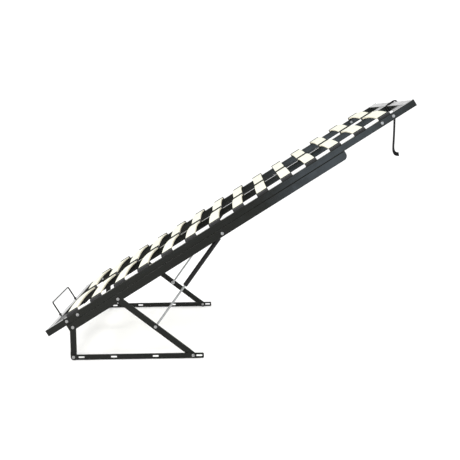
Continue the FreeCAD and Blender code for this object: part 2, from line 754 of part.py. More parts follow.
def base_bars():
    """A slotted flat bar on edge: round at the foot pivot, with a short tail past the other pivot."""
    body = new_body("base_bar_blank")
    side_view = new_sketch(body, "base_bar_side", "XZ", "base_bar_in")
    half = "base_bar_height / 2"
    tail = "base_pivot_gap + base_bar_tail"
    outline(side_view, [("0", f"-{half}"), (tail, f"-{half}"), (tail, half), ("0", half)],
            {3: ("x", "0", 1)})
    pad(body, side_view, "base_bar_thickness")
    end = value(tail)
    fillet(body, lambda edge: along(edge, "y") and abs(edge.CenterOfMass.x - end) < NEAR, "base_bar_round")
    slots = new_sketch(body, "base_bar_slots", "XZ")
    reach = "(slot_length - slot_width) / 2"
    for letter in "abcd":
        station = f"slot_station_{letter}"
        left, right = f"{station} - {reach}", f"{station} + {reach}"
        low, high = "-slot_width / 2", "slot_width / 2"
        outline(slots, [(left, low), (right, low), (right, high), (left, high)],
                {1: ("x", right, 1), 3: ("x", left, 1)})
    for pivot in ("0", "base_pivot_gap"):
        circle(slots, pivot, "0", "pivot_radius + running_gap")
    cut_through(body, slots)
    put(body, "pivot_a_x", "0", "pivot_a_z")
    keep("base_bar_right", body)
    keep("base_bar_left", mirrored("base_bar_left", body))
    bolts, washers, nuts = [], [], []
    for letter in "ab":
        spot = (f"pivot_{letter}_x", "pivot_a_z")
        nut_face = "link_foot_in - nut_gap"
        bolts.append(bolt(f"base_bolt_{letter}", "base_bar_out", f"{nut_face} - nut_height - thread_end",
                          *spot))
        washers.append(ring(f"base_washer_{letter}", "base_bar_in", "base_bar_in - washer_thickness",
                            "washer_radius", *spot))
        nuts.append(nut(f"base_nut_{letter}", nut_face, *spot))
    for node, things in (("base_pivot_bolts", bolts), ("base_pivot_washers", washers),
                         ("base_pivot_nuts", nuts)):
        right = group(node + "_right", things)
        keep(node, group(node, [right, mirrored(node + "_left", right)]))


def link(name, length, holes):
    """A flat link along X from its lower pivot, stepped outward near that pivot to meet the base bar."""
    body = new_body(name)
    side_view = new_sketch(body, name + "_side", "XZ", "link_in")
    low, high = "-link_width / 2", "link_width / 2"
    outline(side_view, [("0", low), (length, low), (length, high), ("0", high)],
            {1: ("x", length, 1), 3: ("x", "0", 1)})
    pad(body, side_view, "link_thickness + link_joggle")
    step = new_sketch(body, name + "_step", "XY")
    past = f"{length} + link_width"
    outline(step, [("joggle_start + joggle_run", "-link_out"), (past, "-link_out"),
                   (past, "-link_foot_out - overshoot"), ("joggle_start", "-link_foot_out - overshoot"),
                   ("joggle_start", "-link_foot_out")])
    outline(step, [("-link_width", "-link_in + overshoot"), ("-link_width", "-link_foot_in"),
                   ("joggle_start", "-link_foot_in"), ("joggle_start + joggle_run", "-link_in"),
                   ("joggle_start + joggle_run", "-link_in + overshoot")])
    cut_through(body, step)
    bores = new_sketch(body, name + "_bores", "XZ")
    for station in holes:
        circle(bores, station, "0", "pivot_radius + running_gap")
    cut_through(body, bores)
    return body


def links():
    upright = link("upright_link_right", "upright_length", ["0", "upright_length"])
    keep("upright_link_right", put(upright, "pivot_a_x", "0", "pivot_a_z", "90"))
    keep("upright_link_left", mirrored("upright_link_left", upright))
    diagonal = link("diagonal_link_right", "diagonal_length", ["0", "strut_foot_reach", "diagonal_length"])
    keep("diagonal_link_right", put(diagonal, "pivot_b_x", "0", "pivot_a_z", "diagonal_angle"))
    keep("diagonal_link_left", mirrored("diagonal_link_left", diagonal))
    # The head of the upper pin is inboard: its outer half belongs to the angle profile.
    top_shank = across("top_pin_shank", "pivot_radius", "link_out", "link_in - overshoot",
                       "diagonal_length", "0")
    top_head = across("top_pin_head", "head_radius", "link_in", "link_in - head_height",
                      "diagonal_length", "0")
    strut_pin = bolt("strut_foot_bolt", "link_out", "link_in", "strut_foot_reach", "0")
    pins = group("diagonal_pins_right", [joined("top_pin", [top_shank, top_head]), strut_pin])
    keep("diagonal_pins_right", put(pins, "pivot_b_x", "0", "pivot_a_z", "diagonal_angle"))
    keep("diagonal_pins_left", mirrored("diagonal_pins_left", pins))


def frame_pivots():
    """Bolts on the angle profile for the upright link, the diagonal link and the strut."""
    bolts, washers, nuts = [], [], []
    tips = {"c": "link_in - nut_gap - nut_height - thread_end", "d": "flange_in",
            "e": "eye_in - nut_gap - nut_height - thread_end"}
    for letter, tip in tips.items():
        bolts.append(bolt(f"frame_pivot_bolt_{letter}", "rail_out", tip, f"pivot_{letter}_station",
                          "-pivot_drop"))
    for letter, face in (("c", "link_in - nut_gap"), ("e", "eye_in - nut_gap")):
        nuts.append(nut(f"frame_pivot_nut_{letter}", face, f"pivot_{letter}_station", "-pivot_drop"))
    washers.append(ring("frame_pivot_washer", "flange_in", "flange_in - washer_thickness",
                        "washer_radius", "pivot_c_station", "-pivot_drop"))
    washers.append(ring("strut_spacer", "flange_in", "eye_out + nut_gap", "spacer_radius",
                        "pivot_e_station", "-pivot_drop"))
    for node, things in (("frame_pivot_bolts", bolts), ("frame_pivot_spacers", washers)):
        right = group(node + "_right", things)
        keep(node, on_frame(group(node, [right, mirrored(node + "_left", right)])))
    return nuts


def shared_fasteners(screws, nuts):
    """The frame's screws are all alike, and so are its nuts: each kind shares a node."""
    keep("frame_screws", on_frame(group("frame_screws", screws)))
    right = group("frame_nuts_right", nuts)
    keep("frame_nuts", on_frame(group("frame_nuts", [right, mirrored("frame_nuts_left", right)])))


# ---------------------------------------------------------------- gas struts

def turned(name, corners):
    """A piece turned about X, from its half outline."""
    body = new_body(name)
    half = new_sketch(body, name + "_half", "XY")
    outline(half, corners)
    feature = body.newObject("PartDesign::Revolution", name + "_turned")
    feature.Profile = half
    feature.ReferenceAxis = (half, ["H_Axis"])
    feature.Angle = 360
    doc.recompute()
    return body


def eye(name, station, neck_start, neck_length):
    """A ring across the strut's axis with a round neck along it."""
    ring_part = bar(name + "_ring", "eye_radius", "eye_width", (station, "-eye_width / 2", "0"))
    neck = bar(name + "_neck", "eye_neck_radius", neck_length, (neck_start, "0", "0"), "x")
    solid = joined(name + "_solid", [ring_part, neck])
    bore = bar(name + "_bore", "pivot_radius + running_gap", "eye_width + 2 * overshoot",
               (station, "-eye_width / 2 - overshoot", "0"))
    return cut_away(name, solid, [bore])


def struts():
    """The strut lies along X from its foot pivot to its head pivot, and is then turned into place."""
    start, finish = "strut_tube_end", "strut_length - strut_tube_start"
    closed = f"{finish} - strut_end_wall"
    inner = "strut_radius - strut_wall"
    tube = turned("strut_tube", [(start, inner), (start, "strut_radius"), (finish, "strut_radius"),
                                 (finish, "0"), (closed, "0"), (closed, inner)])
    gland_inner = "strut_rod_radius + running_gap"
    lip = f"{start} - gland_lip"
    buried = f"{start} + strut_gland_length"
    gland = turned("strut_gland", [(lip, gland_inner), (lip, inner), (buried, inner),
                                   (buried, gland_inner)])
    top_eye = eye("strut_top_eye", "strut_length", finish, "strut_tube_start - pivot_radius - neck_overlap")
    rod_start = "eye_radius + foot_neck_length"
    rod_end = f"{start} + strut_gland_length + piston_length + piston_stop"
    piston = f"{inner} - piston_gap"
    rod = turned("strut_rod", [(rod_start, "0"), (rod_start, "strut_rod_radius"),
                               (f"{rod_end} - piston_length", "strut_rod_radius"),
                               (f"{rod_end} - piston_length", piston), (rod_end, piston), (rod_end, "0")])
    foot_eye = eye("strut_foot_eye", "0", "pivot_radius + neck_overlap",
                   f"{rod_start} - pivot_radius - neck_overlap")
    stud_shank = bar("stud_shank", "pivot_radius", "link_in - nut_gap - eye_in + nut_height + thread_end",
                     ("0", "-(link_in - nut_gap) + strut_out", "0"))
    stud_collar = bar("stud_collar", "spacer_radius", "link_in - nut_gap - eye_out",
                      ("0", "-(link_in - nut_gap) + strut_out", "0"))
    stud_nut = doc.addObject("Part::Prism", "stud_nut")
    stud_nut.Polygon = 6
    bind(stud_nut, Circumradius="nut_radius", Height="nut_height")
    nut_y = cells("eye_width / 2")
    stud_nut.setExpression("Placement", f"placement(vector(0; {nut_y}; 0); {AXIS_TURNS['y']})")
    stud = joined("strut_foot_stud", [stud_shank, stud_collar, stud_nut])
    for piece in (tube, gland, top_eye, rod, foot_eye, stud):
        node = piece.Name
        put(piece, "pivot_f_x", "-strut_out", "pivot_f_z", "strut_angle")
        keep(node + "_right", piece)
        keep(node + "_left", mirrored(node + "_left", piece))


# ---------------------------------------------------------------- mattress hoop and pull strap

def mattress_hoop():
    """A wire hoop that keeps the mattress from sliding: two sleeves hold it on the foot bar's face."""
    body = new_body("mattress_hoop")
    foot = "tube_height / 2 - hoop_depth"
    route = new_sketch(body, "hoop_route", "YZ", "hoop_station")
    side, top, bend = "hoop_width / 2", "hoop_top", "hoop_bend"
    spots = [(f"-{side}", foot), (f"-{side}", f"{top} - {bend}"), (f"-{side} + {bend}", top),
             (f"{side} - {bend}", top), (side, f"{top} - {bend}"), (side, foot)]
    points = [FreeCAD.Vector(value(x), value(y), 0) for x, y in spots]
    left_centre = FreeCAD.Vector(points[2].x, points[1].y, 0)
    right_centre = FreeCAD.Vector(points[3].x, points[4].y, 0)
    edges = [Part.LineSegment(points[0], points[1]), arc_between(points[1], points[2], left_centre, -1),
             Part.LineSegment(points[2], points[3]), arc_between(points[3], points[4], right_centre, -1),
             Part.LineSegment(points[4], points[5])]
    ids = [route.addGeometry(edge, False) for edge in edges]
    starts, stops = (1, 2, 1, 2, 1), (2, 1, 2, 1, 2)
    for index in range(len(ids) - 1):
        route.addConstraint(Sketcher.Constraint("Coincident", ids[index], stops[index], ids[index + 1],
                                                starts[index + 1]))
    for index, spot in enumerate(spots[:-1]):
        locate(route, ids[index], starts[index], *spot)
    locate(route, ids[-1], stops[-1], *spots[-1])
    locate(route, ids[1], 3, x=spots[2][0])
    locate(route, ids[3], 3, x=spots[3][0])
    wire = new_sketch(body, "hoop_wire", "XY", foot)
    circle(wire, "hoop_station", f"-{side}", "hoop_wire_radius")
    doc.recompute()
    pipe = body.newObject("PartDesign::AdditivePipe", "hoop_pipe")
    pipe.Profile = wire
    pipe.Spine = (route, [f"Edge{i + 1}" for i in range(len(ids))])
    doc.recompute()
    keep("mattress_hoop", on_frame(body))
    collars = []
    low = "tube_height / 2 + collar_rise - collar_height"
    tall = "collar_height + 2 * overshoot"
    for sign in (-1, 1):
        middle = f"{sign} * hoop_width / 2"
        sleeve = bar(f"collar_sleeve_{sign + 1}", "collar_radius", "collar_height",
                     ("hoop_station", middle, low), "z")
        bore = bar(f"collar_bore_{sign + 1}", "hoop_wire_radius + running_gap", tall,
                   ("hoop_station", middle, f"{low} - overshoot"), "z")
        flat = block(f"collar_flat_{sign + 1}", ("collar_radius", "4 * collar_radius", tall),
                     ("cap_thickness", f"{middle} - 2 * collar_radius", f"{low} - overshoot"))
        collars.append(cut_away(f"hoop_collar_{sign + 1}", sleeve, [bore, flat]))
    keep("hoop_collars", on_frame(group("hoop_collars", collars)))


def rounded_route(points):
    """Straight runs joined by tangent arcs, each as large as its two runs allow."""
    edges, start = [], points[0]
    for before, corner, after in zip(points, points[1:], points[2:]):
        back, ahead = (before - corner), (after - corner)
        reach = 0.45 * min(back.Length, ahead.Length)
        back.normalize()
        ahead.normalize()
        enter, leave = corner + back * reach, corner + ahead * reach
        half_turn = (math.pi - back.getAngle(ahead)) / 2
        radius = reach / math.tan(half_turn)
        inward = (back + ahead).normalize()
        middle = corner + inward * (radius / math.cos(half_turn) - radius)
        edges.append(Part.LineSegment(start, enter).toShape())
        edges.append(Part.Arc(enter, middle, leave).toShape())
        print(f"strap bend radius {radius:.1f}")
        start = leave
    edges.append(Part.LineSegment(start, points[-1]).toShape())
    return Part.Wire(edges)


def pull_strap():
    """Webbing looped round the head bar, hanging straight down from its underside with a curled end."""
    side = "strap_clearance"
    inner = (f"frame_length - beam_start - {side}", f"frame_length - cap_thickness + {side}",
             f"-tube_height / 2 - {side}", f"tube_height / 2 + {side}")
    body = new_body("strap_loop")
    wrap = new_sketch(body, "strap_loop_section", "XZ", "strap_out - strap_width / 2")
    grow = "strap_loop_thickness"
    rectangle(wrap, f"{inner[0]} - {grow}", f"{inner[1]} + {grow}", f"{inner[2]} - {grow}",
              f"{inner[3]} + {grow}")
    pad(body, wrap, "strap_width")
    fillet(body, lambda edge: along(edge, "y"), grow)
    hollow = new_sketch(body, "strap_loop_hollow", "XZ")
    rectangle(hollow, *inner)
    cut_through(body, hollow)
    keep("strap_loop", on_frame(body))
    station = value("head_bar_station")
    middle = FreeCAD.Vector(value("frame_x") + station * value("run"), -value("strap_out"),
                            value("frame_z") + station * value("rise"))
    points = [middle + FreeCAD.Vector(x, 0, z) for x, z in STRAP_ROUTE]
    path = rounded_route(points)
    half_width, half_thickness = value("strap_width") / 2, value("strap_thickness") / 2
    along_strap = (points[1] - points[0]).normalize()
    over = FreeCAD.Vector(0, 1, 0) * half_width
    through = along_strap.cross(FreeCAD.Vector(0, 1, 0)) * half_thickness
    corners = [points[0] + over + through, points[0] - over + through, points[0] - over - through,
               points[0] + over - through]
    section = Part.makePolygon(corners + corners[:1])
    webbing = path.makePipeShell([section], True, False)
    strap = doc.addObject("Part::Feature", "pull_strap")
    strap.Shape = webbing
    expected = 4 * half_width * half_thickness * path.Length
    print(f"strap length {path.Length:.1f}, volume {webbing.Volume:.0f} against {expected:.0f}")
    keep("pull_strap", strap)


# ---------------------------------------------------------------- build, check and write

def write_parts():
    doc.recompute()
    faults = [thing.Name for thing in doc.Objects if {"Invalid", "Error"} & set(thing.State)]
    for node, thing in subparts.items():
        if thing.Shape.isNull() or not thing.Shape.isValid() or not thing.Shape.Solids:
            faults.append(node)
    if faults:
        raise RuntimeError("not built: " + ", ".join(faults))
    os.makedirs("parts", exist_ok=True)
    for node, thing in subparts.items():
        thing.Shape.exportStep(f"parts/{node}.step")
    solids = sum(len(thing.Shape.Solids) for thing in subparts.values())
    print(len(subparts), "nodes,", solids, "solids")


fill_sheet()
side_rail()
end_bars_and_beam()
end_caps()
lift_screws = lift_rails()
corner_brackets()
bolt_nuts = frame_bolts()
beam_screws = beam_brackets()
slat_rows()
holders()
base_bars()
links()
pivot_nuts = frame_pivots()
shared_fasteners(lift_screws + beam_screws, bolt_nuts + pivot_nuts)
struts()
mattress_hoop()
pull_strap()
write_parts()
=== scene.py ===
"""Looks of the lift-up slatted bed base: materials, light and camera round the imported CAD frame, and
modelled slats, slat holders, bolts and webbing in place of their plain CAD solids."""

import math

import bmesh
import bpy
from mathutils import Matrix, Vector


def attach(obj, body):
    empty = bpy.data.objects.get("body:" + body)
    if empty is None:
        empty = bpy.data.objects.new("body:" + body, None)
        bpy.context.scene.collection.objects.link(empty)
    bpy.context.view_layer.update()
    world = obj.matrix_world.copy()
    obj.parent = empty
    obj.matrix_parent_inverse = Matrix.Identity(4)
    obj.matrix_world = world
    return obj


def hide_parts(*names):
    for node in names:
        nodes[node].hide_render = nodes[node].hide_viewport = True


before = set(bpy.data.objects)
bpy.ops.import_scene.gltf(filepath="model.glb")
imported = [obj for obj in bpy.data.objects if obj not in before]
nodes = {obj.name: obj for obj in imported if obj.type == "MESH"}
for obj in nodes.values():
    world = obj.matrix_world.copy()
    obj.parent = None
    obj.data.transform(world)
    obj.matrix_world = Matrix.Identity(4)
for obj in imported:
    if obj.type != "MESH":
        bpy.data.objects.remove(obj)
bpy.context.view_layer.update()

# The lift frame's own axes, as in part.py: station along the rails, side across, height above the rails.
TILT = math.radians(31.25)
FRAME_CORNER = Vector((-0.833427, 0.0, 0.126084))
ALONG = Vector((math.cos(TILT), 0.0, math.sin(TILT)))
ACROSS = Vector((0.0, 1.0, 0.0))
ABOVE = Vector((-math.sin(TILT), 0.0, math.cos(TILT)))
TUBE_TOP = 0.0155
HEAD_BAR_STATION = 1.977


def on_frame(station, side, height):
    """A point given in the lift frame's own axes."""
    return FRAME_CORNER + station * ALONG + side * ACROSS + height * ABOVE


# ---------------------------------------------------------------- camera

CAMERA_PLACE = (0.0690, -5.6828, 1.1075)
CAMERA_YAW = math.radians(-0.501)
CAMERA_PITCH = math.radians(-5.858)
CAMERA_ROLL = math.radians(-1.057)
FOCAL_PIXELS = 1090.5
FRAME_PIXELS = 460
SENSOR_WIDTH = 36.0


def make_camera():
    """The camera of the photograph, from its place, three turns and focal length."""
    data = bpy.data.cameras.new("camera")
    data.sensor_width = SENSOR_WIDTH
    data.lens = SENSOR_WIDTH * FOCAL_PIXELS / FRAME_PIXELS
    camera = bpy.data.objects.new("camera", data)
    bpy.context.scene.collection.objects.link(camera)
    look = Vector((math.sin(CAMERA_YAW) * math.cos(CAMERA_PITCH),
                   math.cos(CAMERA_YAW) * math.cos(CAMERA_PITCH), math.sin(CAMERA_PITCH)))
    level = Vector((math.cos(CAMERA_YAW), -math.sin(CAMERA_YAW), 0.0))
    upright = level.cross(look)
    right = math.cos(CAMERA_ROLL) * level + math.sin(CAMERA_ROLL) * upright
    up = math.cos(CAMERA_ROLL) * upright - math.sin(CAMERA_ROLL) * level
    turn = Matrix((right, up, -look)).transposed()
    camera.matrix_world = Matrix.Translation(CAMERA_PLACE) @ turn.to_4x4()
    bpy.context.scene.camera = camera


# ---------------------------------------------------------------- materials

BEVEL_SAMPLES = 6
# Cosines between the rounded and the true normal: flat from the first up, an edge from the second down.
FLAT_COSINE, BENT_COSINE = 0.95, 0.55


class Nodes:
    """A short way to write a node material."""

    def __init__(self, name):
        self.material = bpy.data.materials.new(name)
        self.material.use_nodes = True
        self.tree = self.material.node_tree
        self.shader = self.tree.nodes["Principled BSDF"]

    def add(self, kind, links=None, **settings):
        node = self.tree.nodes.new(kind)
        for key, setting in settings.items():
            setattr(node, key, setting)
        for key, source in (links or {}).items():
            self.feed(node.inputs[key], source)
        return node

    def feed(self, socket, source):
        if isinstance(source, bpy.types.NodeSocket):
            self.tree.links.new(source, socket)
        else:
            socket.default_value = source

    def place(self, turn=0.0, scale=(1.0, 1.0, 1.0)):
        """The object's own coordinates, turned about Y and stretched."""
        where = self.add("ShaderNodeTexCoord").outputs["Object"]
        return self.add("ShaderNodeMapping", {"Vector": where, "Rotation": (0.0, turn, 0.0),
                                              "Scale": scale}).outputs["Vector"]

    def noise(self, scale, detail=3.0, where=None, roughness=0.5):
        where = where or self.place()
        return self.add("ShaderNodeTexNoise", {"Vector": where, "Scale": scale, "Detail": detail,
                                               "Roughness": roughness}).outputs["Fac"]

    def maths(self, operation, first, second=0.0):
        node = self.add("ShaderNodeMath", operation=operation)
        self.feed(node.inputs[0], first)
        self.feed(node.inputs[1], second)
        return node.outputs[0]

    def spread(self, source, low, high, to_low, to_high):
        return self.add("ShaderNodeMapRange", {"Value": source, "From Min": low, "From Max": high,
                                               "To Min": to_low, "To Max": to_high}).outputs["Result"]

    def mix(self, share, first, second):
        node = self.add("ShaderNodeMix", data_type="RGBA")
        self.feed(node.inputs["Factor"], share)
        for socket, colour in ((node.inputs[6], first), (node.inputs[7], second)):
            self.feed(socket, colour if isinstance(colour, bpy.types.NodeSocket) else (*colour, 1.0))
        return node.outputs[2]

    def bump(self, height, distance, strength=1.0, normal=None):
        links = {"Height": height, "Distance": distance, "Strength": strength}
        if normal is not None:
            links["Normal"] = normal
        return self.add("ShaderNodeBump", links).outputs["Normal"]

    def edge(self, radius):
        """1 along sharp edges and 0 on flat faces, with the rounded normal that goes with it."""
        soft = self.add("ShaderNodeBevel", {"Radius": radius}, samples=BEVEL_SAMPLES).outputs["Normal"]
        flat = self.add("ShaderNodeNewGeometry").outputs["Normal"]
        dot = self.add("ShaderNodeVectorMath", operation="DOT_PRODUCT")
        self.feed(dot.inputs[0], soft)
        self.feed(dot.inputs[1], flat)
        return self.spread(dot.outputs["Value"], FLAT_COSINE, BENT_COSINE, 0.0, 1.0), soft

    def finish(self, **inputs):
        for key, source in inputs.items():
            self.feed(self.shader.inputs[key.replace("_", " ")], source)
        return self.material


def painted(name, colour, worn_and_highlight, roughness, coat=0.0, specular=0.5):
    """Powder coat: fine orange peel, slow changes of tone, a little dust, and paler edges that are partly
    rubbed wear and partly a painted edge highlight.
    """
    n = Nodes(name)
    edge, soft = n.edge(0.0012)
    tone = n.noise(5.0, 4.0)
    dust = n.noise(38.0, 6.0, roughness=0.7)
    body = n.mix(n.spread(tone, 0.3, 0.7, 0.0, 1.0), [c * 0.86 for c in colour], [c * 1.16 for c in colour])
    body = n.mix(n.spread(dust, 0.56, 0.8, 0.0, 0.2), body, [c * 2.0 + 0.01 for c in colour])
    # Paler edges: partly rubbed wear, partly a painted highlight along every sharp edge.
    wear_and_highlight_mask = n.maths("MULTIPLY", edge, n.spread(n.noise(60.0, 2.0), 0.35, 0.65, 0.25, 0.8))
    body = n.mix(wear_and_highlight_mask, body, worn_and_highlight)
    rough = n.spread(n.noise(24.0, 4.0), 0.3, 0.7, roughness - 0.05, roughness + 0.08)
    peel = n.noise(520.0, 2.0)
    return n.finish(Base_Color=body, Roughness=rough, Metallic=0.0, Specular_IOR_Level=specular,
                    Coat_Weight=coat, Coat_Roughness=0.12, Normal=n.bump(peel, 0.0001, 0.2, soft))


def metal(name, colour, roughness):
    """Plated steel: fine grain, soft changes of tone, and paler edges."""
    n = Nodes(name)
    edge, soft = n.edge(0.0006)
    grain = n.noise(300.0, 4.0)
    tone = n.noise(90.0, 3.0)
    body = n.mix(n.spread(tone, 0.3, 0.75, 0.0, 1.0), [c * 0.82 for c in colour],
                 [min(1.0, c * 1.08) for c in colour])
    body = n.mix(n.maths("MULTIPLY", edge, 0.5), body, [min(1.0, c * 1.2) for c in colour])
    rough = n.spread(grain, 0.3, 0.7, roughness - 0.05, roughness + 0.1)
    return n.finish(Base_Color=body, Roughness=rough, Metallic=1.0,
                    Normal=n.bump(grain, 0.00008, 0.4, soft))


def chrome(name):
    """Polished rod: a faint haze and very fine lines."""
    n = Nodes(name)
    haze = n.noise(70.0, 4.0)
    lines = n.noise(1400.0, 1.0)
    body = n.mix(n.spread(haze, 0.35, 0.7, 0.0, 1.0), (0.27, 0.28, 0.28), (0.36, 0.37, 0.37))
    rough = n.spread(haze, 0.3, 0.7, 0.07, 0.16)
    return n.finish(Base_Color=body, Roughness=rough, Metallic=1.0, Normal=n.bump(lines, 0.00003, 0.3))


def moulded(name, colour, roughness):
    """Moulded plastic or rubber with a fine spark-eroded grain."""
    n = Nodes(name)
    tone = n.noise(30.0, 4.0)
    pale = n.noise(150.0, 4.0, roughness=0.7)
    body = n.mix(n.spread(tone, 0.3, 0.7, 0.0, 1.0), [c * 0.8 for c in colour], [c * 1.25 for c in colour])
    body = n.mix(n.spread(pale, 0.6, 0.85, 0.0, 0.25), body, [c * 2.2 + 0.012 for c in colour])
    rough = n.spread(pale, 0.3, 0.7, roughness - 0.08, roughness + 0.08)
    return n.finish(Base_Color=body, Roughness=rough, Specular_IOR_Level=0.35,
                    Normal=n.bump(n.noise(2080.0, 2.0), 0.00015, 0.5))


def slat_wood(name):
    """A laminated slat with a cream foil face: faint grain along it, and thin layers on its cut edges."""
    n = Nodes(name)
    local = n.place(TILT)
    grain = n.noise(1.0, 6.0, n.place(TILT, (150.0, 5.0, 150.0)), 0.62)
    fleck = n.noise(1.0, 3.0, n.place(TILT, (420.0, 22.0, 420.0)))
    tone = n.noise(2.6, 2.0, local)
    face = n.mix(n.spread(grain, 0.3, 0.72, 0.0, 1.0), (0.66, 0.655, 0.53), (0.73, 0.735, 0.62))
    face = n.mix(n.spread(fleck, 0.6, 0.85, 0.0, 0.22), face, (0.60, 0.57, 0.42))
    face = n.mix(n.spread(tone, 0.35, 0.65, 0.0, 0.30), face, (0.745, 0.75, 0.655))
    ply = n.add("ShaderNodeTexWave", {"Vector": local, "Scale": 92.0, "Distortion": 0.6, "Detail": 2.0,
                                      "Detail Scale": 6.0}, wave_type="BANDS", bands_direction="Z",
                wave_profile="SIN").outputs["Fac"]
    layers = n.mix(n.spread(ply, 0.35, 0.6, 0.0, 1.0), (0.52, 0.44, 0.30), (0.70, 0.66, 0.51))
    flat = n.add("ShaderNodeNewGeometry").outputs["True Normal"]
    normal = n.add("ShaderNodeVectorTransform", {"Vector": flat},
                   vector_type="NORMAL", convert_from="WORLD", convert_to="OBJECT").outputs["Vector"]
    upward = n.add("ShaderNodeVectorMath", operation="DOT_PRODUCT")
    n.feed(upward.inputs[0], normal)
    n.feed(upward.inputs[1], tuple(ABOVE))
    cut = n.spread(n.maths("ABSOLUTE", upward.outputs["Value"]), 0.45, 0.25, 0.0, 0.8)
    body = n.mix(cut, face, layers)
    rough = n.spread(grain, 0.3, 0.7, 0.42, 0.56)
    return n.finish(Base_Color=body, Roughness=rough, Specular_IOR_Level=0.35,
                    Normal=n.bump(grain, 0.00012, 0.3))


def webbing(name):
    """Black woven strap: a plain weave of warp and weft with a dull sheen."""
    n = Nodes(name)
    where = n.add("ShaderNodeUVMap", uv_map="strap").outputs["UV"]
    weft = n.add("ShaderNodeTexWave", {"Vector": where, "Scale": 190.0, "Distortion": 1.2, "Detail": 1.0},
                 wave_type="BANDS", bands_direction="Y").outputs["Fac"]
    warp = n.add("ShaderNodeTexWave", {"Vector": where, "Scale": 130.0, "Distortion": 0.5, "Detail": 1.0},
                 wave_type="BANDS", bands_direction="X").outputs["Fac"]
    weave = n.maths("MULTIPLY", weft, warp)
    fuzz = n.noise(900.0, 3.0)
    body = n.mix(n.spread(weave, 0.1, 0.8, 0.0, 1.0), (0.003, 0.003, 0.0035), (0.014, 0.014, 0.015))
    body = n.mix(n.spread(fuzz, 0.58, 0.8, 0.0, 0.35), body, (0.028, 0.028, 0.030))
    rough = n.spread(weave, 0.0, 1.0, 0.92, 0.74)
    return n.finish(Base_Color=body, Roughness=rough, Specular_IOR_Level=0.12, Sheen_Weight=0.03,
                    Normal=n.bump(weave, 0.0006, 0.7))


FINISHES = {
    # In each painted finish the second colour is that of its paler edges: partly rubbed wear, partly a
    # painted edge highlight.
    "frame_paint": painted("frame_paint", (0.0050, 0.0056, 0.0038), (0.055, 0.058, 0.052), 0.13,
                           specular=0.20),
    "link_paint": painted("link_paint", (0.0044, 0.0050, 0.0036), (0.055, 0.058, 0.055), 0.14,
                          specular=0.20),
    "hoop_paint": painted("hoop_paint", (0.010, 0.010, 0.010), (0.04, 0.04, 0.04), 0.28, specular=0.25),
    "strut_paint": painted("strut_paint", (0.002, 0.002, 0.0023), (0.02, 0.02, 0.02), 0.16, coat=0.38,
                           specular=0.05),
    "zinc": metal("zinc", (0.33, 0.33, 0.325), 0.30),
    "strut_eye": metal("strut_eye", (0.46, 0.46, 0.46), 0.36),
    "rod_chrome": chrome("rod_chrome"),
    "slat_wood": slat_wood("slat_wood"),
    "holder_rubber": moulded("holder_rubber", (0.016, 0.016, 0.0165), 0.62),
    "cap_plastic": moulded("cap_plastic", (0.016, 0.0165, 0.016), 0.50),
    "washer_plastic": moulded("washer_plastic", (0.50, 0.50, 0.48), 0.50),
    "washer_black": moulded("washer_black", (0.012, 0.012, 0.012), 0.55),
    "webbing": webbing("webbing"),
}


def finish_cad_nodes():
    """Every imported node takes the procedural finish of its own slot."""
    for node in nodes.values():
        for place in node.material_slots:
            place.material = FINISHES[place.material.name.split(".")[0]]


# ---------------------------------------------------------------- pieces

def piece(name, mesh, finish, body, replaced, smooth_angle=40.0):
    """A finished piece on a CAD body, in place of CAD nodes."""
    thing = bpy.data.objects.new(name, mesh)
    bpy.context.scene.collection.objects.link(thing)
    mesh.materials.append(FINISHES[finish])
    sharp = math.radians(smooth_angle)
    solid = bmesh.new()
    solid.from_mesh(mesh)
    bmesh.ops.recalc_face_normals(solid, faces=solid.faces)
    for face in solid.faces:
        face.smooth = True
    for edge in solid.edges:
        edge.smooth = len(edge.link_faces) == 2 and edge.calc_face_angle() < sharp
    solid.to_mesh(mesh)
    solid.free()
    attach(thing, body)
    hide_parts(*replaced)
    return thing


def loft(sections):
    """A closed skin through sections that all have the same number of points."""
    vertices = [point for section in sections for point in section]
    count = len(sections[0])
    faces = []
    for step in range(len(sections) - 1):
        low, high = step * count, (step + 1) * count
        for i in range(count):
            j = (i + 1) % count
            faces.append((low + i, low + j, high + j, high + i))
    faces.append(tuple(range(count)))
    faces.append(tuple(range(len(vertices) - count, len(vertices))))
    return vertices, faces


def merged(name, shells):
    """One mesh from several shells."""
    vertices, faces = [], []
    for points, polygons in shells:
        first = len(vertices)
        vertices += [tuple(p) for p in points]
        faces += [tuple(first + i for i in polygon) for polygon in polygons]
    mesh = bpy.data.meshes.new(name)
    mesh.from_pydata(vertices, [], faces)
    return mesh


# ---------------------------------------------------------------- slats

SLAT_COUNT = 14
FIRST_SLAT = 0.150
SLAT_PITCH = 0.1307
SLAT_WIDTH = 0.053
SLAT_THICKNESS = 0.008
SLAT_NEAR = 0.008
SLAT_FAR = 0.691
SLAT_LOW = 0.0170
SLAT_BOW = 0.011
SLAT_HALF = (SLAT_FAR - SLAT_NEAR) / 2
SLAT_RADIUS = (SLAT_HALF ** 2 + SLAT_BOW ** 2) / (2 * SLAT_BOW)
SLAT_STEPS = 48
SLAT_EDGE = 0.0022


def slat_station(row):
    return FIRST_SLAT + row * SLAT_PITCH


def slat_rise(out):
    """How far the slat's underside is above its ends."""
    away = out - (SLAT_NEAR + SLAT_FAR) / 2
    return math.sqrt(SLAT_RADIUS ** 2 - away ** 2) + SLAT_BOW - SLAT_RADIUS


def rounded_section(width, height, radius, steps=4):
    """A rectangle's outline with rounded corners, centred across and standing on 0."""
    points = []
    for corner, (x, y) in enumerate(((1, 1), (0, 1), (0, 0), (1, 0))):
        middle = ((x - 0.5) * (width - 2 * radius), radius + y * (height - 2 * radius))
        for step in range(steps + 1):
            angle = math.radians(90 * corner + 90 * step / steps)
            points.append((middle[0] + radius * math.cos(angle), middle[1] + radius * math.sin(angle)))
    return points


